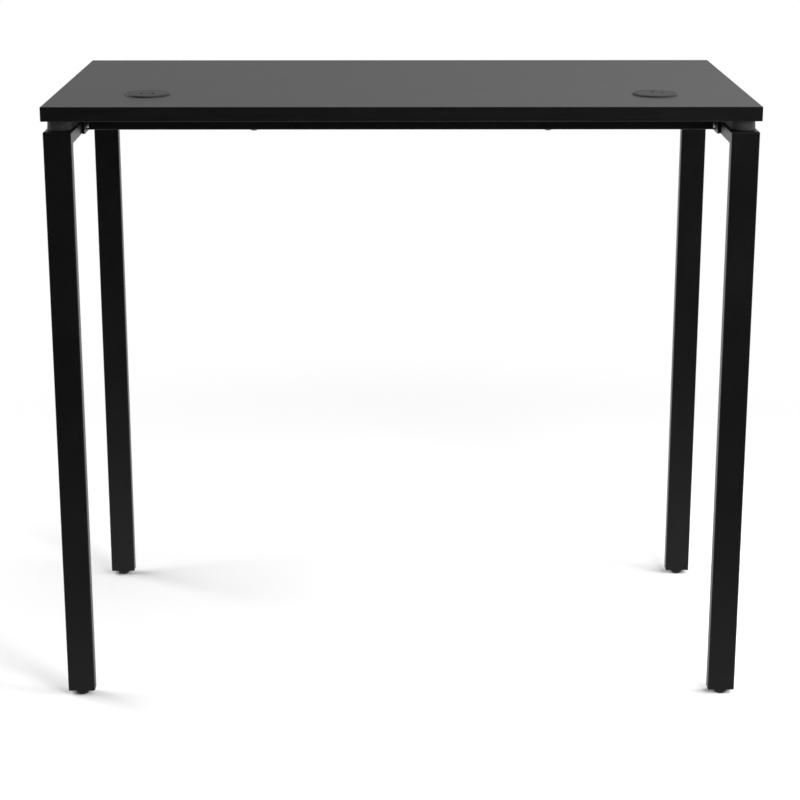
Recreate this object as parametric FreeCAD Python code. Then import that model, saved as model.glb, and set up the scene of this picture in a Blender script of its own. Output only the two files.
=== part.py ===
import FreeCAD, Part
import math
import os

# Standing-height desk: a laminate board on two inverted-U frames of rectangular steel tube.
# Millimetres, +Z up. The origin is on the floor under the middle of the desktop, +X points right
# and +Y points away from the long side that has the cable grommets, which is called the front.

# Desktop: a laminate-faced board inside a plastic edge band
desk_width = 1219.0
desk_depth = 610.0
desk_height = 1080.0
top_thickness = 25.0
band_thickness = 2.0
band_edge_radius = 1.5

# Rectangular tube of the legs and side rails, and its place under the desktop
tube_width = 48.0
tube_depth = 24.0
tube_wall = 2.0
tube_outer_radius = 3.0
tube_inner_radius = 1.0
mitre_corner_radius = 4.5
frame_side_inset = 2.0
frame_end_inset = 5.5

# Round spacers that hold the desktop off the side rails
spacer_height = 18.5
spacer_top_diameter = 38.5
spacer_base_diameter = 41.0
spacer_edge_radius = 1.0
spacer_setback = 30.0

# Cross beams between the side rails, each with a welded plate at both ends
beam_depth = 25.0
beam_edge_distance = 187.0
beam_wall = 1.5
beam_outer_radius = 2.5
beam_inner_radius = 1.0
plate_length = 120.0
plate_thickness = 4.5
plate_corner_radius = 4.0
plate_bolt_spacing = 60.0
beam_screw_offset = 262.0

# M6 fasteners
bolt_radius = 3.0
bolt_hole_clearance = 0.3
thread_clearance = 0.05
socket_across_flats = 4.0
button_head_radius = 5.5
button_head_height = 3.3
button_head_round = 2.2
button_socket_depth = 2.0
cap_head_radius = 5.0
cap_head_height = 5.0
cap_socket_depth = 3.0
truss_head_radius = 6.5
truss_head_height = 2.6
truss_head_round = 1.6
truss_socket_depth = 1.5
driver_hole_radius = 6.5
weld_nut_across_flats = 10.0
weld_nut_thickness = 5.0
bolt_end_stickout = 2.0
insert_radius = 5.0
insert_length = 13.0
insert_hole_spare_depth = 1.0

# Levelling feet: a pad on the floor, a screw that turns in it and a plug in the leg with a nut
foot_height = 8.5
foot_stop_gap = 0.3
foot_travel = 15.0
pad_radius = 11.5
pad_lower_round = 3.5
pad_upper_round = 0.8
pad_floor_thickness = 2.0
stem_radius = 4.0
stem_running_clearance = 0.06
stem_end_chamfer = 0.8
stem_flange_radius = 6.0
stem_flange_thickness = 2.0
collar_across_flats = 10.0
collar_height = 4.0
collar_room = 0.6
plug_height = 25.0
plug_tube_clearance = 0.1
plug_bore_clearance = 0.5
plug_nut_across_flats = 13.0
plug_nut_height = 6.5
plug_nut_clearance = 0.05

# Cable grommets: a liner in the board, a lift-out cap and a flap that swings up from the cap's slot
grommet_side_distance = 164.5
grommet_edge_distance = 144.0
left_grommet_turn = 0.0
right_grommet_turn = 140.0
flange_radius = 39.0
flange_height = 3.0
flange_round = 2.0
recess_floor_height = 0.8
recess_radius = 33.5
sleeve_outer_radius = 31.5
sleeve_inner_radius = 29.5
sleeve_length = 20.0
ledge_radius = 27.5
ledge_gap = 1.0
sleeve_hole_clearance = 0.25
cap_clearance = 0.3
cap_edge_round = 0.5
skirt_wall = 1.5
skirt_depth = 7.0
slot_width = 25.0
flap_clearance = 0.3
hinge_setback = 3.0
barrel_radius = 1.6
barrel_gap = 0.4
pin_radius = 0.8
pin_clearance = 0.06
pin_reach = 2.0
pin_end_gap = 0.2
flap_notch_width = 4.5
flap_notch_depth = 8.0
ear_width = 4.0
ear_half_length = 3.0
ear_depth = 1.2

# Shared by every cut that has to pass right through, and by the search for an edge to round
overrun = 1.0
match_tolerance = 0.01

# Levels and places that follow from the sizes above
underside_z = desk_height - top_thickness
rail_top_z = underside_z - spacer_height
rail_bottom_z = rail_top_z - tube_depth
rail_middle_z = (rail_top_z + rail_bottom_z) / 2
leg_x = desk_width / 2 - frame_side_inset - tube_width / 2
leg_outer_y = desk_depth / 2 - frame_end_inset
leg_y = leg_outer_y - tube_depth / 2
spacer_y = leg_outer_y - spacer_setback
rail_inner_x = leg_x - tube_width / 2
plate_inner_x = rail_inner_x - plate_thickness
plug_top_z = foot_height + plug_height
beam_offset = desk_depth / 2 - beam_edge_distance
grommet_offset = desk_width / 2 - grommet_side_distance
grommet_y = grommet_edge_distance - desk_depth / 2
bolt_hole_radius = bolt_radius + bolt_hole_clearance
threaded_bore_radius = bolt_radius + thread_clearance

sides = {"left": -1, "right": 1}
ends = {"front": -1, "back": 1}
hexagon_sides = 6
along_x = FreeCAD.Vector(1, 0, 0)
along_y = FreeCAD.Vector(0, 1, 0)
along_z = FreeCAD.Vector(0, 0, 1)
origin = FreeCAD.Vector(0, 0, 0)


def block(low, high):
    """A box between two opposite corners, given in any order."""
    corner = [min(a, b) for a, b in zip(low, high)]
    size = [abs(a - b) for a, b in zip(low, high)]
    return Part.makeBox(*size, FreeCAD.Vector(*corner))


def rod(radius, start, length, direction=along_z):
    """A cylinder that starts at a point and runs along a direction."""
    return Part.makeCylinder(radius, length, FreeCAD.Vector(*start), direction)


def hexagon_bar(across_flats, start, length):
    """An upright six-sided bar."""
    corners = []
    for index in range(hexagon_sides + 1):
        angle = index * math.tau / hexagon_sides
        out = FreeCAD.Vector(math.cos(angle), math.sin(angle), 0) * hexagon_corner_radius(across_flats)
        corners.append(FreeCAD.Vector(*start) + out)
    face = Part.Face(Part.makePolygon(corners))
    return face.extrude(along_z * length)


def hexagon_corner_radius(across_flats):
    """From the middle of a hexagon to one of its corners."""
    return across_flats / math.sqrt(3)


def edges_at_height(shape, height):
    """The edges of a shape that lie flat at one height."""
    found = []
    for edge in shape.Edges:
        bounds = edge.BoundBox
        if abs(bounds.ZMin - height) < match_tolerance and abs(bounds.ZMax - height) < match_tolerance:
            found.append(edge)
    return found


def edges_along(shape, direction):
    """The straight edges of a shape that run along a direction."""
    found = []
    for edge in shape.Edges:
        run = edge.Vertexes[-1].Point - edge.Vertexes[0].Point
        if run.Length > match_tolerance and run.cross(direction).Length < match_tolerance:
            found.append(edge)
    return found


def rounded_block(low, high, direction, radius):
    """A box whose edges along one direction are rounded."""
    plain = block(low, high)
    return plain.makeFillet(radius, edges_along(plain, direction))


def tube(low, high, direction, wall, outer_radius, inner_radius):
    """A rectangular tube with rounded corners, open at both ends along its direction."""
    across = FreeCAD.Vector(1, 1, 1) - direction
    inner_low = FreeCAD.Vector(*low) + across * wall - direction * overrun
    inner_high = FreeCAD.Vector(*high) - across * wall + direction * overrun
    outside = rounded_block(low, high, direction, outer_radius)
    return outside.cut(rounded_block(inner_low, inner_high, direction, inner_radius))


def at_each_corner(make_solid):
    """One solid at each of the four corners of the frame, as a single group."""
    solids = []
    for side in sides.values():
        for end in ends.values():
            solids.append(make_solid(side, end))
    return Part.makeCompound(solids)


def desktop_nodes():
    """The board with its holes, and the four strips of edge band round it."""
    half_width = desk_width / 2
    half_depth = desk_depth / 2
    slab = block((-half_width, -half_depth, underside_z), (half_width, half_depth, desk_height))
    slab = slab.makeFillet(band_edge_radius, slab.Edges)
    board_x = half_width - band_thickness
    board_y = half_depth - band_thickness
    board = block((-board_x, -board_y, underside_z), (board_x, board_y, desk_height))
    hole_depth = insert_length + insert_hole_spare_depth
    for x, y in insert_places():
        hole_radius = insert_radius + thread_clearance
        board = board.cut(rod(hole_radius, (x, y, underside_z - overrun), hole_depth + overrun))
    for side in sides.values():
        hole_start = (side * grommet_offset, grommet_y, underside_z - overrun)
        hole_length = top_thickness + 2 * overrun
        board = board.cut(rod(sleeve_outer_radius + sleeve_hole_clearance, hole_start, hole_length))
    nodes = {"desktop_board": board}
    for name, end in ends.items():
        low = (-half_width - overrun, end * board_y, underside_z - overrun)
        high = (half_width + overrun, end * (half_depth + overrun), desk_height + overrun)
        nodes["edge_band_" + name] = slab.common(block(low, high))
    for name, side in sides.items():
        low = (side * board_x, -board_y, underside_z - overrun)
        high = (side * (half_width + overrun), board_y, desk_height + overrun)
        nodes["edge_band_" + name] = slab.common(block(low, high))
    return nodes


def insert_places():
    """Plan positions of the threaded inserts: over the spacers and over the beam screws."""
    places = []
    for side in sides.values():
        for end in ends.values():
            places.append((side * leg_x, end * spacer_y))
            places.append((side * beam_screw_offset, end * beam_offset))
    return places


def mitre_wedge(end, above):
    """A prism on one side of the mitre between a leg and its side rail, above the cut or below it."""
    reach = tube_depth + overrun
    outer = (end * (leg_outer_y + overrun), rail_top_z + overrun)
    inner = (end * (leg_outer_y - reach), rail_top_z - reach)
    third = (inner[0], outer[1]) if above else (outer[0], inner[1])
    start_x = -tube_width / 2 - overrun
    corners = [FreeCAD.Vector(start_x, y, z) for y, z in (outer, inner, third, outer)]
    face = Part.Face(Part.makePolygon(corners))
    return face.extrude(along_x * (tube_width + 2 * overrun))


def mitre_corner_trim(end):
    """What is ground off the outer edge of a mitred corner to leave it rounded."""
    start_x = -tube_width / 2 - overrun
    length = tube_width + 2 * overrun
    centre = (start_x, end * (leg_outer_y - mitre_corner_radius), rail_top_z - mitre_corner_radius)
    high = (start_x + length, end * (leg_outer_y + overrun), rail_top_z + overrun)
    return block(centre, high).cut(rod(mitre_corner_radius, centre, length, along_x))


def leg(end):
    """One leg, centred across X, mitred at the top."""
    low = (-tube_width / 2, end * leg_y - tube_depth / 2, foot_height)
    high = (tube_width / 2, end * leg_y + tube_depth / 2, rail_top_z)
    solid = tube(low, high, along_z, tube_wall, tube_outer_radius, tube_inner_radius)
    return solid.cut([mitre_wedge(end, True), mitre_corner_trim(end)])


def side_rail(side):
    """One side rail, centred across X, mitred at both ends and drilled for its fasteners."""
    low = (-tube_width / 2, -leg_outer_y, rail_bottom_z)
    high = (tube_width / 2, leg_outer_y, rail_top_z)
    solid = tube(low, high, along_y, tube_wall, tube_outer_radius, tube_inner_radius)
    for end in ends.values():
        solid = solid.cut([mitre_wedge(end, False), mitre_corner_trim(end)])
        top_wall = (0, end * spacer_y, rail_top_z - tube_wall - overrun)
        bottom_wall = (0, end * spacer_y, rail_bottom_z - overrun)
        hole_length = tube_wall + 2 * overrun
        solid = solid.cut(rod(bolt_hole_radius, top_wall, hole_length))
        solid = solid.cut(rod(driver_hole_radius, bottom_wall, hole_length))
        for bolt_y in beam_bolt_rows(end):
            inner_wall = (-side * (tube_width / 2 + overrun), bolt_y, rail_middle_z)
            solid = solid.cut(rod(bolt_hole_radius, inner_wall, hole_length, along_x * side))
    return solid


def beam_bolt_rows(end):
    """Y of the two bolts beside one cross beam."""
    return [end * beam_offset + step * plate_bolt_spacing / 2 for step in (-1, 1)]


def frame_nodes():
    """Legs and side rails of both inverted-U frames."""
    nodes = {}
    for side_name, side in sides.items():
        place = along_x * (side * leg_x)
        for end_name, end in ends.items():
            nodes[side_name + "_" + end_name + "_leg"] = leg(end).translated(place)
        nodes[side_name + "_side_rail"] = side_rail(side).translated(place)
    return nodes


def spacer():
    """A round spacer that widens downwards, standing on the side rail, with a bolt hole through it."""
    base_radius = spacer_base_diameter / 2
    top_radius = spacer_top_diameter / 2
    solid = Part.makeCone(base_radius, top_radius, spacer_height)
    rims = edges_at_height(solid, 0) + edges_at_height(solid, spacer_height)
    solid = solid.makeFillet(spacer_edge_radius, rims)
    return solid.cut(rod(bolt_hole_radius, (0, 0, -overrun), spacer_height + 2 * overrun))


def spacer_nodes():
    nodes = {}
    for side_name, side in sides.items():
        for end_name, end in ends.items():
            place = FreeCAD.Vector(side * leg_x, end * spacer_y, rail_top_z)
            nodes[side_name + "_" + end_name + "_spacer"] = spacer().translated(place)
    return nodes


def cross_beam(end):
    """A tube from plate to plate that carries the desktop, drilled for its two screws."""
    low = (-plate_inner_x, end * beam_offset - beam_depth / 2, rail_bottom_z)
    high = (plate_inner_x, end * beam_offset + beam_depth / 2, underside_z)
    solid = tube(low, high, along_x, beam_wall, beam_outer_radius, beam_inner_radius)
    hole_length = underside_z - rail_bottom_z + 2 * overrun
    for side in sides.values():
        start = (side * beam_screw_offset, end * beam_offset, rail_bottom_z - overrun)
        solid = solid.cut(rod(bolt_hole_radius, start, hole_length))
    return solid


def beam_plate(side, end):
    """The plate welded to one end of a cross beam and bolted to the side rail."""
    middle_y = end * beam_offset
    low = (side * plate_inner_x, middle_y - plate_length / 2, rail_bottom_z)
    high = (side * rail_inner_x, middle_y + plate_length / 2, rail_top_z)
    solid = rounded_block(low, high, along_x, plate_corner_radius)
    for bolt_y in beam_bolt_rows(end):
        start = (side * (plate_inner_x - overrun), bolt_y, rail_middle_z)
        hole_length = plate_thickness + 2 * overrun
        solid = solid.cut(rod(bolt_hole_radius, start, hole_length, along_x * side))
    return solid


def beam_nodes():
    nodes = {}
    for end_name, end in ends.items():
        nodes[end_name + "_cross_beam"] = cross_beam(end)
        for side_name, side in sides.items():
            nodes[side_name + "_" + end_name + "_beam_plate"] = beam_plate(side, end)
    return nodes


def screw(head_radius, head_height, head_round, socket_depth, shank_length):
    """An upright screw: its head hangs below the origin and its shank rises from it."""
    head = rod(head_radius, (0, 0, -head_height), head_height)
    if head_round > 0:
        head = head.makeFillet(head_round, edges_at_height(head, -head_height))
    socket_start = (0, 0, -head_height - overrun)
    head = head.cut(hexagon_bar(socket_across_flats, socket_start, socket_depth + overrun))
    return head.fuse(rod(bolt_radius, origin, shank_length)).removeSplitter()


def nut(across_flats, thickness, bore_radius):
    """A six-sided nut that rises from the origin."""
    bore = rod(bore_radius, (0, 0, -overrun), thickness + 2 * overrun)
    return hexagon_bar(across_flats, origin, thickness).cut(bore)


def spacer_bolt(side, end):
    """A bolt from inside the side rail, up through the spacer, into the board's insert."""
    length = tube_wall + spacer_height + insert_length
    solid = screw(cap_head_radius, cap_head_height, 0, cap_socket_depth, length)
    return solid.translated(FreeCAD.Vector(side * leg_x, end * spacer_y, rail_top_z - tube_wall))


def beam_screw(side, end):
    """A long screw from under a cross beam, through it, into the board's insert."""
    length = underside_z - rail_bottom_z + insert_length
    solid = screw(truss_head_radius, truss_head_height, truss_head_round, truss_socket_depth, length)
    place = FreeCAD.Vector(side * beam_screw_offset, end * beam_offset, rail_bottom_z)
    return solid.translated(place)


def beam_bolt_pair(side, end):
    """Two button-head bolts that hold one beam plate to the side rail."""
    length = plate_thickness + tube_wall + weld_nut_thickness + bolt_end_stickout
    solids = []
    for bolt_y in beam_bolt_rows(end):
        solid = screw(
            button_head_radius, button_head_height, button_head_round, button_socket_depth, length
        )
        solid = solid.rotated(origin, along_y, side * 90)
        solids.append(solid.translated(FreeCAD.Vector(side * plate_inner_x, bolt_y, rail_middle_z)))
    return Part.makeCompound(solids)


def weld_nut_pair(side, end):
    """Two nuts welded inside the side rail for the bolts of one beam plate."""
    solids = []
    for bolt_y in beam_bolt_rows(end):
        solid = nut(weld_nut_across_flats, weld_nut_thickness, threaded_bore_radius)
        solid = solid.rotated(origin, along_y, side * 90)
        place = FreeCAD.Vector(side * (rail_inner_x + tube_wall), bolt_y, rail_middle_z)
        solids.append(solid.translated(place))
    return Part.makeCompound(solids)


def threaded_inserts():
    """Metal sleeves set into the underside of the board."""
    solids = []
    for x, y in insert_places():
        sleeve = rod(insert_radius, (x, y, underside_z), insert_length)
        bore = rod(threaded_bore_radius, (x, y, underside_z - overrun), insert_length + 2 * overrun)
        solids.append(sleeve.cut(bore))
    return Part.makeCompound(solids)


def fastener_nodes():
    return {
        "spacer_bolts": at_each_corner(spacer_bolt),
        "beam_screws": at_each_corner(beam_screw),
        "beam_bolts": at_each_corner(beam_bolt_pair),
        "weld_nuts": at_each_corner(weld_nut_pair),
        "threaded_inserts": threaded_inserts(),
    }


def leg_plug():
    """A moulded plug that closes the end of a leg and holds the nut of its foot."""
    half_x = tube_width / 2 - tube_wall - plug_tube_clearance
    half_y = tube_depth / 2 - tube_wall - plug_tube_clearance
    low = (-half_x, -half_y, foot_height)
    solid = rounded_block(low, (half_x, half_y, plug_top_z), along_z, tube_inner_radius)
    bore = rod(stem_radius + plug_bore_clearance, (0, 0, foot_height - overrun), plug_height + 2 * overrun)
    collar_radius = hexagon_corner_radius(collar_across_flats) + collar_room
    collar_space = rod(collar_radius, (0, 0, foot_height - overrun), collar_height + collar_room + overrun)
    pocket_start = (0, 0, plug_top_z - plug_nut_height)
    pocket_across_flats = plug_nut_across_flats + 2 * plug_nut_clearance
    pocket = hexagon_bar(pocket_across_flats, pocket_start, plug_nut_height + overrun)
    return solid.cut([bore, collar_space, pocket])


def foot_pad():
    """A nylon pad with a rounded lower edge, hollowed to hold the flange of the foot screw."""
    height = foot_height - foot_stop_gap
    solid = rod(pad_radius, origin, height)
    solid = solid.makeFillet(pad_lower_round, edges_at_height(solid, 0))
    solid = solid.makeFillet(pad_upper_round, edges_at_height(solid, height))
    room_height = stem_flange_thickness + 2 * stem_running_clearance
    room_radius = stem_flange_radius + stem_running_clearance
    room = rod(room_radius, (0, 0, pad_floor_thickness), room_height)
    neck = rod(stem_radius + stem_running_clearance, (0, 0, pad_floor_thickness), height)
    return solid.cut(room.fuse(neck))


def foot_stem():
    """The foot's screw: a flange held in the pad, a six-sided collar for a spanner and a long shank."""
    flange_z = pad_floor_thickness + stem_running_clearance
    collar_z = foot_height - foot_stop_gap + stem_running_clearance
    stem_top_z = plug_top_z + foot_travel
    shank = rod(stem_radius, (0, 0, flange_z), stem_top_z - flange_z)
    shank = shank.makeChamfer(stem_end_chamfer, edges_at_height(shank, stem_top_z))
    flange = rod(stem_flange_radius, (0, 0, flange_z), stem_flange_thickness)
    collar = hexagon_bar(collar_across_flats, (0, 0, collar_z), collar_height)
    return shank.fuse([flange, collar]).removeSplitter()


def plug_nut(side, end):
    solid = nut(plug_nut_across_flats, plug_nut_height, stem_radius + stem_running_clearance)
    return solid.translated(FreeCAD.Vector(side * leg_x, end * leg_y, plug_top_z - plug_nut_height))


def foot_nodes():
    """Plug, pad and screw at the bottom of each leg, and the four nuts as one group."""
    nodes = {"plug_nuts": at_each_corner(plug_nut)}
    makers = {"leg_plug": leg_plug, "foot_pad": foot_pad, "foot_stem": foot_stem}
    for side_name, side in sides.items():
        for end_name, end in ends.items():
            place = FreeCAD.Vector(side * leg_x, end * leg_y, 0)
            for piece, make_solid in makers.items():
                nodes[side_name + "_" + end_name + "_" + piece] = make_solid().translated(place)
    return nodes


def grommet_liner():
    """A flanged sleeve with a recess for the cap and a ledge inside, below the cap's skirt.

    Height zero is the desktop's surface.
    """
    flange = rod(flange_radius, origin, flange_height)
    flange = flange.makeFillet(flange_round, edges_at_height(flange, flange_height))
    sleeve = rod(sleeve_outer_radius, (0, 0, -sleeve_length), sleeve_length + recess_floor_height)
    recess = rod(recess_radius, (0, 0, recess_floor_height), flange_height)
    ledge_z = -skirt_depth - ledge_gap
    upper_bore = rod(sleeve_inner_radius, (0, 0, ledge_z), flange_height - ledge_z)
    lower_bore = rod(ledge_radius, (0, 0, -sleeve_length - overrun), sleeve_length + overrun)
    return flange.fuse(sleeve).cut([recess, upper_bore, lower_bore]).removeSplitter()


def hinge_line(radius, start_x, end_x):
    """A cylinder on the flap's hinge axis, between two places across the slot."""
    start = (start_x, -hinge_setback, flange_height - barrel_radius)
    direction = along_x if end_x > start_x else -along_x
    return rod(radius, start, abs(end_x - start_x), direction)


def grommet_cap():
    """A disc that drops into the liner, with a skirt, a slot for cables and ears for the flap's pins."""
    cap_radius = recess_radius - cap_clearance
    skirt_radius = sleeve_inner_radius - cap_clearance
    disc = rod(cap_radius, (0, 0, recess_floor_height), flange_height - recess_floor_height)
    disc = disc.makeFillet(cap_edge_round, edges_at_height(disc, flange_height))
    skirt_start = (0, 0, -skirt_depth)
    skirt = rod(skirt_radius, skirt_start, skirt_depth + recess_floor_height)
    skirt = skirt.cut(rod(skirt_radius - skirt_wall, skirt_start, skirt_depth + recess_floor_height))
    half_slot = slot_width / 2
    slot_end_y = -hinge_setback + barrel_radius + barrel_gap
    slot_low = (-half_slot, -recess_radius - overrun, -skirt_depth - overrun)
    slot = block(slot_low, (half_slot, slot_end_y, flange_height + overrun))
    solid = disc.fuse(skirt).cut(slot)
    for side in sides.values():
        ear_low = (side * half_slot, -hinge_setback - ear_half_length, -ear_depth)
        ear_high = (side * (half_slot + ear_width), -hinge_setback + ear_half_length, flange_height / 2)
        solid = solid.fuse(block(ear_low, ear_high))
        hole_start = half_slot - overrun
        hole_end = half_slot + pin_reach + pin_end_gap
        solid = solid.cut(hinge_line(pin_radius + pin_clearance, side * hole_start, side * hole_end))
    return solid.removeSplitter()


def cable_flap():
    """A tongue that closes the cap's slot, with a barrel and two pins at its inner end."""
    half_flap = slot_width / 2 - flap_clearance
    half_barrel = half_flap - flap_notch_width
    floor_z = recess_floor_height + flap_clearance
    tongue = block((-half_flap, -recess_radius, floor_z), (half_flap, -hinge_setback, flange_height))
    tongue = tongue.common(rod(recess_radius - cap_clearance, (0, 0, floor_z), flange_height))
    for side in sides.values():
        notch_low = (side * half_barrel, -hinge_setback - flap_notch_depth, floor_z - overrun)
        notch_high = (side * (half_flap + overrun), overrun, flange_height + overrun)
        tongue = tongue.cut(block(notch_low, notch_high))
    barrel = hinge_line(barrel_radius, -half_barrel, half_barrel)
    pin_end = slot_width / 2 + pin_reach
    pin = hinge_line(pin_radius, -pin_end, pin_end)
    return tongue.fuse([barrel, pin]).removeSplitter()


def grommet_nodes():
    nodes = {}
    turns = {"left": left_grommet_turn, "right": right_grommet_turn}
    makers = {"grommet_liner": grommet_liner, "grommet_cap": grommet_cap, "cable_flap": cable_flap}
    for side_name, side in sides.items():
        place = FreeCAD.Vector(side * grommet_offset, grommet_y, desk_height)
        for piece, make_solid in makers.items():
            solid = make_solid().rotated(origin, along_z, turns[side_name])
            nodes[side_name + "_" + piece] = solid.translated(place)
    return nodes


def main():
    os.makedirs("parts", exist_ok=True)
    nodes = {}
    for make_nodes in (
        desktop_nodes, frame_nodes, spacer_nodes, beam_nodes, fastener_nodes, foot_nodes, grommet_nodes
    ):
        nodes.update(make_nodes())
    for name, shape in nodes.items():
        if not shape.isValid():
            raise ValueError(name + " is not a valid shape")
        shape.exportStep("parts/" + name + ".step")
        print(name, len(shape.Solids), "solids", round(shape.Volume), "mm3")


main()
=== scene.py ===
import math

import bmesh
import bpy
from mathutils import Euler, Matrix, Vector


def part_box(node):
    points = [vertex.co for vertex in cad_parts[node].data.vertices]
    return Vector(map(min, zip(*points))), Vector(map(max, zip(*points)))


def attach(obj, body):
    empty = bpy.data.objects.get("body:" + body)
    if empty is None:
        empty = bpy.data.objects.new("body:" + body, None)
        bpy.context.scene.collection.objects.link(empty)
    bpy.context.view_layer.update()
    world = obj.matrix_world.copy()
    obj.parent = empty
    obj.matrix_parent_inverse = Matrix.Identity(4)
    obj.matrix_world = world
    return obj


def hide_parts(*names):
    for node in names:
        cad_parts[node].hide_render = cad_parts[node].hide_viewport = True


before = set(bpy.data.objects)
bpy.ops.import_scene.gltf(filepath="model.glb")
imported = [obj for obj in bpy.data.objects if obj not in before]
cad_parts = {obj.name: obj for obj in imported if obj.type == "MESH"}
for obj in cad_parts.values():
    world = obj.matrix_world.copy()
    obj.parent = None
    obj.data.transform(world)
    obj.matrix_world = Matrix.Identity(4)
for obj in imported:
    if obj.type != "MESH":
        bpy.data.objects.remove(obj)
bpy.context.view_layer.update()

# A standing-height desk with a black laminate top on black steel frames, in a plain white studio.
# The desk's own sizes are in millimetres and are turned to metres by MM where a mesh or a node uses them.
# The camera and the studio are in metres and degrees.
MM = 0.001

# Camera: the photograph keeps the legs almost upright, so part of the downward look is lens shift
camera_place = (-0.016, -3.603, 1.586)
camera_pitch = 14.89
camera_yaw = 0.23
camera_lens = 88.7
camera_shift_y = -0.1

# Weld beads: one ripple, a swell and a waist, for each pulse of the torch
bead_radius = 2.6
bead_ripple = 2.4
least_ripples = 2
bead_swell_share = 0.16
bead_end_share = 0.55
bead_sides = 10
corner_bead_margin = 5.0
beam_bead_margin = 3.0

# Thread of the levelling feet: M8 with a pitch of 1.25 mm
thread_radius = 4.0
thread_pitch = 1.25
thread_depth = 0.68
thread_steps = 24
thread_flat_share = 0.12
thread_sink = 0.05
thread_end_gap = 0.7
stem_flange_radius = 6.0
stem_flange_thickness = 2.0
collar_across_flats = 10.0
collar_height = 4.0
hexagon_sides = 6
round_sides = 32
rim_bevel = 0.3
rim_bevel_steps = 2

# Points closer than this are one point, and an edge whose ends differ less than this in height is level
point_tolerance = 0.01
# A bend between faces that is sharper than this many degrees stays a hard edge
hard_edge_angle = 40

# Patterns of the finishes: how far apart their features are
coat_grain = 2.2
coat_cloud = 140.0
pebble_size = 2.6
wipe_size = 260.0
wipe_angle = 14
draw_line = 2.0
flow_size = 24.0
spangle_size = 1.6
rub_size = 5.0
# How much wipe marks are squeezed across their run, and draw lines stretched along theirs
wipe_squeeze = 3.2
draw_line_share = 1 / 40
# Painted shade and highlight on each grain: where its darkened hollows end and its lightened tops begin, as
# shares of its height
relief_shade_shares = (0.35, 0.65)

# Studio: a white floor that fades into the white surroundings
floor_radius = 14.0
floor_sides = 96
floor_fade_start = 0.85
floor_fade_end = 2.0
floor_white = 0.9
# Where the desk mirrors it, the floor is dim in front, from bright_y down to dim_y
floor_dim_level = 0.12
floor_dim_y = -1.6
floor_bright_y = 0.2
# The sweep's light, seen by gloss and falling on the desk, is dim in front and a little dimmer on the left
sweep_dim_level = 0.06
sweep_dim_y = -0.8
sweep_bright_y = 0.1
sweep_left_level = 0.55
sweep_half_width = 0.5
sweep_strength = 0.5
# Softboxes: place, size, power and whether gloss shows them
# The right and front ones are screened from gloss so that they leave no glare on the desktop
softboxes = {
    "left_softbox": ((-2.4, 0.5, 1.9), (1.6, 1.8), 55, True),
    "right_softbox": ((2.2, -0.3, 1.9), (1.6, 1.8), 60, False),
    "top_softbox": ((0.5, -0.4, 2.8), (2.2, 1.6), 24, True),
    "front_softbox": ((1.4, -2.0, 1.6), (1.0, 1.0), 44, False),
}
softbox_aim = (0, 0, 0.7)

sides = ("left", "right")
ends = ("front", "back")


def linear(text):
    """A colour written as sRGB hex, as linear red, green, blue and alpha."""
    values = []
    for start in (1, 3, 5):
        share = int(text[start:start + 2], 16) / 255
        if share <= 0.04045:
            values.append(share / 12.92)
        else:
            values.append(((share + 0.055) / 1.055) ** 2.4)
    return (*values, 1.0)


def grey(level):
    """A linear grey with its alpha."""
    return (level, level, level, 1.0)


def per_metre(size_mm):
    """The scale of a pattern whose features are that many millimetres apart."""
    return 1 / (size_mm * MM)


def add_node(tree, kind, settings=None, inputs=None, links=None):
    """A node with its own settings, the values of its sockets and what is linked into them."""
    node = tree.nodes.new(kind)
    for name, value in (settings or {}).items():
        setattr(node, name, value)
    for name, value in (inputs or {}).items():
        node.inputs[name].default_value = value
    for name, source in (links or {}).items():
        tree.links.new(source, node.inputs[name])
    return node


def new_material(name):
    """An empty material with its node tree, its shader and the object's own coordinates."""
    material = bpy.data.materials.new(name)
    material.use_nodes = True
    tree = material.node_tree
    tree.nodes.clear()
    shader = add_node(tree, "ShaderNodeBsdfPrincipled")
    add_node(tree, "ShaderNodeOutputMaterial", links={"Surface": shader.outputs["BSDF"]})
    place = add_node(tree, "ShaderNodeTexCoord").outputs["Object"]
    return material, tree, shader, place


def set_stops(ramp, shares, colours):
    """The two stops of a colour ramp."""
    for stop, share, colour in zip(ramp.color_ramp.elements, shares, colours):
        stop.position = share
        stop.color = colour


def finish(tree, shader, tint_by, matt_by, relief_by, tints, tint_shares, roughness, strength, depth_mm,
           specular, relief_shade_factors=None):
    """Links a finish into the shader and sets how strongly it mirrors.

    One pattern chooses between two tints, one between two values of roughness, and one is the relief.
    The relief also paints shade and highlight into the colour: two factors by which it darkens its hollows
    and lightens its tops.
    """
    tint = add_node(tree, "ShaderNodeValToRGB", links={"Fac": tint_by})
    set_stops(tint, tint_shares, map(linear, tints))
    colour = tint.outputs["Color"]
    if relief_shade_factors:
        # Painted shade in the relief's hollows and painted highlight on its tops, following the bump's
        # height
        relief_shade = add_node(tree, "ShaderNodeValToRGB", links={"Fac": relief_by})
        set_stops(relief_shade, relief_shade_shares, map(grey, relief_shade_factors))
        mixed = add_node(tree, "ShaderNodeMix", {"data_type": "RGBA", "blend_type": "MULTIPLY"},
                         {"Factor": 1.0}, {"A": colour, "B": relief_shade.outputs["Color"]})
        colour = mixed.outputs["Result"]
    low, high = roughness
    matt = add_node(tree, "ShaderNodeMapRange", inputs={"To Min": low, "To Max": high},
                    links={"Value": matt_by})
    bump = add_node(tree, "ShaderNodeBump", inputs={"Strength": strength, "Distance": depth_mm * MM},
                    links={"Height": relief_by})
    tree.links.new(colour, shader.inputs["Base Color"])
    tree.links.new(matt.outputs["Result"], shader.inputs["Roughness"])
    tree.links.new(bump.outputs["Normal"], shader.inputs["Normal"])
    shader.inputs["Specular IOR Level"].default_value = specular


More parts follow.
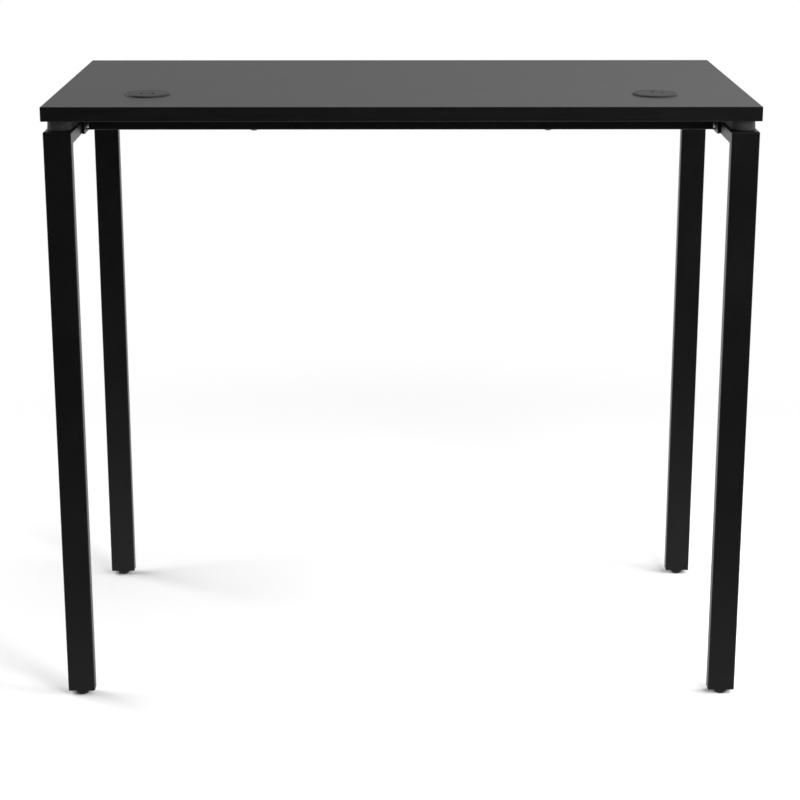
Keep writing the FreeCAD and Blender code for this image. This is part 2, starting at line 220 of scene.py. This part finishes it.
def powder_coat():
    """Fine-texture black polyester powder baked on steel tube: a matt skin of small soft grains."""
    material, tree, shader, place = new_material("powder_coated_steel_black")
    # Real grains are about 0.5 mm; they are drawn coarser so that they show
    grain = add_node(tree, "ShaderNodeTexNoise", inputs={
        "Scale": per_metre(coat_grain), "Detail": 3.0, "Roughness": 0.6}, links={"Vector": place})
    cloud = add_node(tree, "ShaderNodeTexNoise", inputs={
        "Scale": per_metre(coat_cloud), "Detail": 3.0, "Roughness": 0.55}, links={"Vector": place})
    finish(tree, shader, cloud.outputs["Fac"], cloud.outputs["Fac"], grain.outputs["Fac"],
           tints=("#0b0b0c", "#101011"), tint_shares=(0.3, 0.7), roughness=(0.3, 0.4),
           strength=0.5, depth_mm=0.25, specular=0.2, relief_shade_factors=(0.8, 1.25))
    return material


def laminate():
    """Black melamine laminate pressed against a suede plate: matt, with fine pebbles and faint wipes."""
    material, tree, shader, place = new_material("melamine_laminate_black")
    # The press plate's pebbles are about 0.4 mm; they are drawn coarser so that they show
    pebble = add_node(tree, "ShaderNodeTexNoise", inputs={
        "Scale": per_metre(pebble_size), "Detail": 2.0}, links={"Vector": place})
    wipe_place = add_node(tree, "ShaderNodeMapping", inputs={
        "Scale": (1.0, wipe_squeeze, 1.0), "Rotation": (0.0, 0.0, math.radians(wipe_angle))},
        links={"Vector": place})
    wipe = add_node(tree, "ShaderNodeTexNoise", inputs={
        "Scale": per_metre(wipe_size), "Detail": 4.0, "Roughness": 0.6, "Distortion": 0.4},
        links={"Vector": wipe_place.outputs["Vector"]})
    finish(tree, shader, wipe.outputs["Fac"], wipe.outputs["Fac"], pebble.outputs["Fac"],
           tints=("#323233", "#3a3a3b"), tint_shares=(0.3, 0.7), roughness=(0.38, 0.5),
           strength=0.3, depth_mm=0.15, specular=0.06, relief_shade_factors=(0.86, 1.12))
    return material


def edge_band(name, stretch):
    """Extruded black PVC strip: satin, with fine draw lines along its length."""
    material, tree, shader, place = new_material(name)
    line_place = add_node(tree, "ShaderNodeMapping", inputs={"Scale": stretch}, links={"Vector": place})
    # Real draw lines are a few tenths of a millimetre apart; they are drawn coarser so that they show
    line = add_node(tree, "ShaderNodeTexNoise", inputs={
        "Scale": per_metre(draw_line), "Detail": 3.0, "Roughness": 0.6},
        links={"Vector": line_place.outputs["Vector"]})
    finish(tree, shader, line.outputs["Fac"], line.outputs["Fac"], line.outputs["Fac"],
           tints=("#0b0b0c", "#131314"), tint_shares=(0.3, 0.7), roughness=(0.36, 0.5),
           strength=0.2, depth_mm=0.1, specular=0.2)
    return material


def moulded_plastic(name, tints, grain_mm, roughness, depth_mm, specular):
    """Injection-moulded black plastic: spark-eroded grain from the mould and faint flow clouds."""
    material, tree, shader, place = new_material(name)
    grain = add_node(tree, "ShaderNodeTexNoise", inputs={
        "Scale": per_metre(grain_mm), "Detail": 2.0, "Roughness": 0.5}, links={"Vector": place})
    flow = add_node(tree, "ShaderNodeTexNoise", inputs={
        "Scale": per_metre(flow_size), "Detail": 2.0, "Distortion": 0.8}, links={"Vector": place})
    finish(tree, shader, flow.outputs["Fac"], flow.outputs["Fac"], grain.outputs["Fac"],
           tints=tints, tint_shares=(0.35, 0.68), roughness=roughness,
           strength=0.6, depth_mm=depth_mm, specular=specular, relief_shade_factors=(0.78, 1.22))
    return material


def zinc_steel():
    """Bright zinc plating on turned steel: grey-blue metal with faint spangle and rubbed patches."""
    material, tree, shader, place = new_material("zinc_plated_steel")
    spangle = add_node(tree, "ShaderNodeTexVoronoi", inputs={"Scale": per_metre(spangle_size)},
                       links={"Vector": place})
    rub = add_node(tree, "ShaderNodeTexNoise", inputs={
        "Scale": per_metre(rub_size), "Detail": 4.0, "Roughness": 0.65}, links={"Vector": place})
    finish(tree, shader, spangle.outputs["Color"], rub.outputs["Fac"], rub.outputs["Fac"],
           tints=("#9a9c9e", "#b9bbbb"), tint_shares=(0.1, 0.9), roughness=(0.26, 0.46),
           strength=0.2, depth_mm=0.05, specular=0.5)
    shader.inputs["Metallic"].default_value = 1.0
    return material


def studio_floor():
    """White painted studio floor, which fades to the white of the surroundings away from the desk."""
    material, tree, shader, place = new_material("studio_floor_white")
    distance = add_node(tree, "ShaderNodeVectorMath", {"operation": "LENGTH"}, links={0: place})
    fade = add_node(tree, "ShaderNodeMapRange", {"interpolation_type": "SMOOTHSTEP"}, {
        "From Min": floor_fade_start, "From Max": floor_fade_end}, {"Value": distance.outputs["Value"]})
    path = add_node(tree, "ShaderNodeLightPath")
    looked_at = add_node(tree, "ShaderNodeMath", {"operation": "MULTIPLY"}, links={
        0: fade.outputs["Result"], 1: path.outputs["Is Camera Ray"]})
    share = add_node(tree, "ShaderNodeMath", {"operation": "MAXIMUM"}, links={
        0: looked_at.outputs["Value"], 1: path.outputs["Is Glossy Ray"]})
    across = add_node(tree, "ShaderNodeSeparateXYZ", links={"Vector": place})
    mirrored = add_node(tree, "ShaderNodeMapRange", {"interpolation_type": "SMOOTHSTEP"}, {
        "From Min": floor_dim_y, "From Max": floor_bright_y, "To Min": floor_dim_level, "To Max": 1.0},
        {"Value": across.outputs["Y"]})
    level = add_node(tree, "ShaderNodeMix", {"data_type": "FLOAT"}, {"A": 1.0}, {
        "Factor": path.outputs["Is Glossy Ray"], "B": mirrored.outputs["Result"]})
    white = add_node(tree, "ShaderNodeEmission", inputs={"Strength": 1.0}, links={
        "Color": level.outputs["Result"]})
    mixed = add_node(tree, "ShaderNodeMixShader", links={
        0: share.outputs["Value"], 1: shader.outputs["BSDF"], 2: white.outputs["Emission"]})
    output = next(node for node in tree.nodes if node.type == "OUTPUT_MATERIAL")
    tree.links.new(mixed.outputs["Shader"], output.inputs["Surface"])
    shader.inputs["Base Color"].default_value = grey(floor_white)
    shader.inputs["Roughness"].default_value = 0.8
    shader.inputs["Specular IOR Level"].default_value = 0.1
    return material


def new_piece(name, shape, material, body=None):
    """A finished bmesh as a smooth-shaded object; one that rides on a body has its open ends closed."""
    bmesh.ops.remove_doubles(shape, verts=shape.verts, dist=point_tolerance * MM)
    if body:
        bmesh.ops.holes_fill(shape, edges=[edge for edge in shape.edges if edge.is_boundary])
    bmesh.ops.recalc_face_normals(shape, faces=shape.faces)
    mesh = bpy.data.meshes.new(name)
    shape.to_mesh(mesh)
    shape.free()
    mesh.shade_smooth()
    mesh.set_sharp_from_angle(angle=math.radians(hard_edge_angle))
    mesh.materials.append(material)
    piece = bpy.data.objects.new(name, mesh)
    bpy.context.scene.collection.objects.link(piece)
    if body:
        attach(piece, body)
    return piece


def add_bead(shape, start, end):
    """A rippled weld bead along a straight line, closed at both ends."""
    run = Vector(end) - Vector(start)
    steps = 2 * max(least_ripples, round(run.length / (bead_ripple * MM)))
    step = run / steps
    turn = run.to_track_quat("Z", "Y").to_matrix().to_4x4()
    ring = bmesh.ops.create_circle(
        shape, cap_ends=True, segments=bead_sides, radius=bead_radius * MM * bead_end_share,
        matrix=Matrix.Translation(start) @ turn
    )["verts"]
    face = ring[0].link_faces[0]
    centre = Vector(start)
    share = bead_end_share
    for index in range(1, steps + 1):
        face = bmesh.ops.extrude_discrete_faces(shape, faces=[face])["faces"][0]
        centre = centre + step
        next_share = 1 + bead_swell_share * (1 if index % 2 else -1) / 2
        if index == steps:
            next_share = bead_end_share
        bmesh.ops.translate(shape, verts=face.verts, vec=step)
        bmesh.ops.scale(
            shape, verts=face.verts, vec=(next_share / share,) * 3, space=Matrix.Translation(-centre)
        )
        share = next_share


def corner_welds(material):
    """Beads in the inner corners between each leg and its side rail."""
    margin = corner_bead_margin * MM
    for side in sides:
        shape = bmesh.new()
        rail_low, rail_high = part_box(side + "_side_rail")
        for end in ends:
            leg_low, leg_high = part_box(side + "_" + end + "_leg")
            inner_y = leg_high.y if end == "front" else leg_low.y
            start = (rail_low.x + margin, inner_y, rail_low.z)
            add_bead(shape, start, (rail_high.x - margin, inner_y, rail_low.z))
        new_piece(side + "_frame_corner_welds", shape, material, "frame")


def beam_welds(material):
    """Beads down both sides of each cross beam and along the plate's top, where beam and end plates meet."""
    margin = beam_bead_margin * MM
    for end in ends:
        shape = bmesh.new()
        low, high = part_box(end + "_cross_beam")
        plate_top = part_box("left_" + end + "_beam_plate")[1].z
        for x in (low.x, high.x):
            for y in (low.y, high.y):
                add_bead(shape, (x, y, low.z + margin), (x, y, plate_top - margin))
            add_bead(shape, (x, low.y + margin, plate_top), (x, high.y - margin, plate_top))
        new_piece(end + "_beam_welds", shape, material, "frame")


def add_round(shape, radius, bottom, top, segments, axis):
    """A closed upright bar with softened rims."""
    place = Matrix.Translation(axis + Vector((0, 0, (bottom + top) / 2)))
    made = bmesh.ops.create_cone(
        shape, cap_ends=True, segments=segments, radius1=radius, radius2=radius, depth=top - bottom,
        matrix=place
    )["verts"]
    rims = []
    for edge in dict.fromkeys(edge for vert in made for edge in vert.link_edges):
        first, last = edge.verts
        if abs(first.co.z - last.co.z) < point_tolerance * MM:
            rims.append(edge)
    bmesh.ops.bevel(
        shape, geom=rims, offset=rim_bevel * MM, segments=rim_bevel_steps, profile=0.5, affect="EDGES",
        material=-1
    )


def add_thread(shape, root, bottom, top, axis):
    """A ridge swept up a helix, one pitch for each turn."""
    crest = thread_radius * MM
    pitch = thread_pitch * MM
    flat = thread_flat_share * pitch
    foot = root - thread_sink * MM
    profile = ((foot, flat), (crest, pitch / 2), (crest, pitch / 2 + flat), (foot, pitch))
    verts = [shape.verts.new(axis + Vector((radius, 0, bottom + height))) for radius, height in profile]
    edges = [shape.edges.new(pair) for pair in zip(verts, verts[1:] + verts[:1])]
    # The profile is one pitch high itself, so one turn less fits
    turns = int((top - bottom) / pitch) - 1
    bmesh.ops.spin(
        shape, geom=verts + edges, cent=axis, axis=(0, 0, 1), dvec=(0, 0, pitch / thread_steps),
        angle=math.tau * turns, steps=thread_steps * turns, use_merge=False
    )


def foot_screw(corner, material):
    """A levelling screw with a rolled thread, a six-sided collar and a flange inside the pad."""
    name = corner + "_foot_stem"
    low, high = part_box(name)
    pad_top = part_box(corner + "_foot_pad")[1].z
    collar_top = pad_top + collar_height * MM
    flange_top = low.z + stem_flange_thickness * MM
    axis = Vector(((low.x + high.x) / 2, (low.y + high.y) / 2, 0))
    root = (thread_radius - thread_depth) * MM
    shape = bmesh.new()
    add_round(shape, root, low.z, high.z, round_sides, axis)
    add_round(shape, stem_flange_radius * MM, low.z, flange_top, round_sides, axis)
    add_round(shape, thread_radius * MM, low.z, pad_top, round_sides, axis)
    add_round(shape, collar_across_flats * MM / math.sqrt(3), pad_top, collar_top, hexagon_sides, axis)
    add_thread(shape, root, collar_top, high.z - thread_end_gap * MM, axis)
    piece = new_piece(name + "_threaded", shape, material, corner + "_foot_screw")
    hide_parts(name)


def dress_nodes(finishes):
    """Gives every node the first finish whose words are in its name."""
    for name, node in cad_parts.items():
        material = next(made for words, made in finishes if any(word in name for word in words))
        node.data.materials.clear()
        node.data.materials.append(material)


def make_floor():
    """A wide round floor, which isn't part of the desk."""
    shape = bmesh.new()
    bmesh.ops.create_circle(shape, cap_ends=True, segments=floor_sides, radius=floor_radius)
    floor = new_piece("studio_floor", shape, studio_floor())


def make_surroundings():
    """A white sweep round the sides and back, a dim room in front, and plain white behind the desk."""
    world = bpy.data.worlds.new("white_studio")
    world.use_nodes = True
    tree = world.node_tree
    tree.nodes.clear()
    path = add_node(tree, "ShaderNodeLightPath")
    seen = add_node(tree, "ShaderNodeMath", {"operation": "MAXIMUM"}, links={
        0: path.outputs["Is Glossy Ray"], 1: path.outputs["Is Transmission Ray"]})
    around = add_node(tree, "ShaderNodeTexCoord")
    way = add_node(tree, "ShaderNodeSeparateXYZ", links={"Vector": around.outputs["Generated"]})
    deep = add_node(tree, "ShaderNodeMapRange", {"interpolation_type": "SMOOTHSTEP"}, {
        "From Min": sweep_dim_y, "From Max": sweep_bright_y, "To Min": sweep_dim_level, "To Max": 1.0},
        {"Value": way.outputs["Y"]})
    wide = add_node(tree, "ShaderNodeMapRange", inputs={
        "From Min": -sweep_half_width, "From Max": sweep_half_width,
        "To Min": sweep_left_level, "To Max": 1.0}, links={"Value": way.outputs["X"]})
    sweep = add_node(tree, "ShaderNodeMath", {"operation": "MULTIPLY"}, links={
        0: deep.outputs["Result"], 1: wide.outputs["Result"]}).outputs["Value"]
    lit = add_node(tree, "ShaderNodeBackground", inputs={"Strength": sweep_strength}, links={"Color": sweep})
    mirrored = add_node(tree, "ShaderNodeBackground", inputs={"Strength": 1.0}, links={"Color": sweep})
    white = add_node(tree, "ShaderNodeBackground", inputs={"Color": grey(1.0), "Strength": 1.0})
    off_camera = add_node(tree, "ShaderNodeMixShader", links={
        0: seen.outputs["Value"], 1: lit.outputs["Background"], 2: mirrored.outputs["Background"]})
    mixed = add_node(tree, "ShaderNodeMixShader", links={
        0: path.outputs["Is Camera Ray"], 1: off_camera.outputs["Shader"], 2: white.outputs["Background"]})
    add_node(tree, "ShaderNodeOutputWorld", links={"Surface": mixed.outputs["Shader"]})
    bpy.context.scene.world = world


def make_softboxes():
    """Soft lamps at both sides, above and in front."""
    for name, (place, size, power, in_gloss) in softboxes.items():
        lamp = bpy.data.lights.new(name, "AREA")
        lamp.shape = "RECTANGLE"
        lamp.size, lamp.size_y = size
        lamp.energy = power
        box = bpy.data.objects.new(name, lamp)
        box.location = place
        box.visible_glossy = in_gloss
        box.rotation_euler = (Vector(softbox_aim) - Vector(place)).to_track_quat("-Z", "Y").to_euler()
        bpy.context.scene.collection.objects.link(box)


def make_camera():
    """The photograph's view."""
    data = bpy.data.cameras.new("photo_camera")
    data.lens = camera_lens
    data.shift_y = camera_shift_y
    camera = bpy.data.objects.new("photo_camera", data)
    camera.location = camera_place
    camera.rotation_euler = Euler((math.radians(90 - camera_pitch), 0, math.radians(-camera_yaw)))
    bpy.context.scene.collection.objects.link(camera)
    bpy.context.scene.camera = camera


coat = powder_coat()
zinc = zinc_steel()
top = laminate()
long_band = edge_band("pvc_edge_band_black_long", (draw_line_share, 1.0, 1.0))
short_band = edge_band("pvc_edge_band_black_short", (1.0, draw_line_share, 1.0))
spacer_plastic = moulded_plastic(
    "polypropylene_satin_black", tints=("#303031", "#383839"), grain_mm=1.8, roughness=(0.56, 0.7),
    depth_mm=0.12, specular=0.12
)
nylon = moulded_plastic(
    "nylon_moulded_black", tints=("#141415", "#1b1b1c"), grain_mm=1.5, roughness=(0.39, 0.53),
    depth_mm=0.12, specular=0.2
)
grommet_plastic = moulded_plastic(
    "abs_spark_textured_black", tints=("#262627", "#2f2f30"), grain_mm=1.3, roughness=(0.48, 0.62),
    depth_mm=0.14, specular=0.13
)
dress_nodes([
    (("desktop_board",), top),
    (("edge_band_front", "edge_band_back"), long_band),
    (("edge_band",), short_band),
    (("grommet", "cable_flap"), grommet_plastic),
    (("spacer_bolts", "beam_screws", "beam_bolts", "nuts", "inserts", "stem"), zinc),
    (("spacer",), spacer_plastic),
    (("plug", "pad"), nylon),
    (("leg", "rail", "beam", "plate"), coat),
])
corner_welds(coat)
beam_welds(coat)
for side in sides:
    for end in ends:
        foot_screw(side + "_" + end, zinc)
make_floor()
make_surroundings()
make_softboxes()
make_camera()
bpy.context.scene.view_settings.view_transform = "Standard"
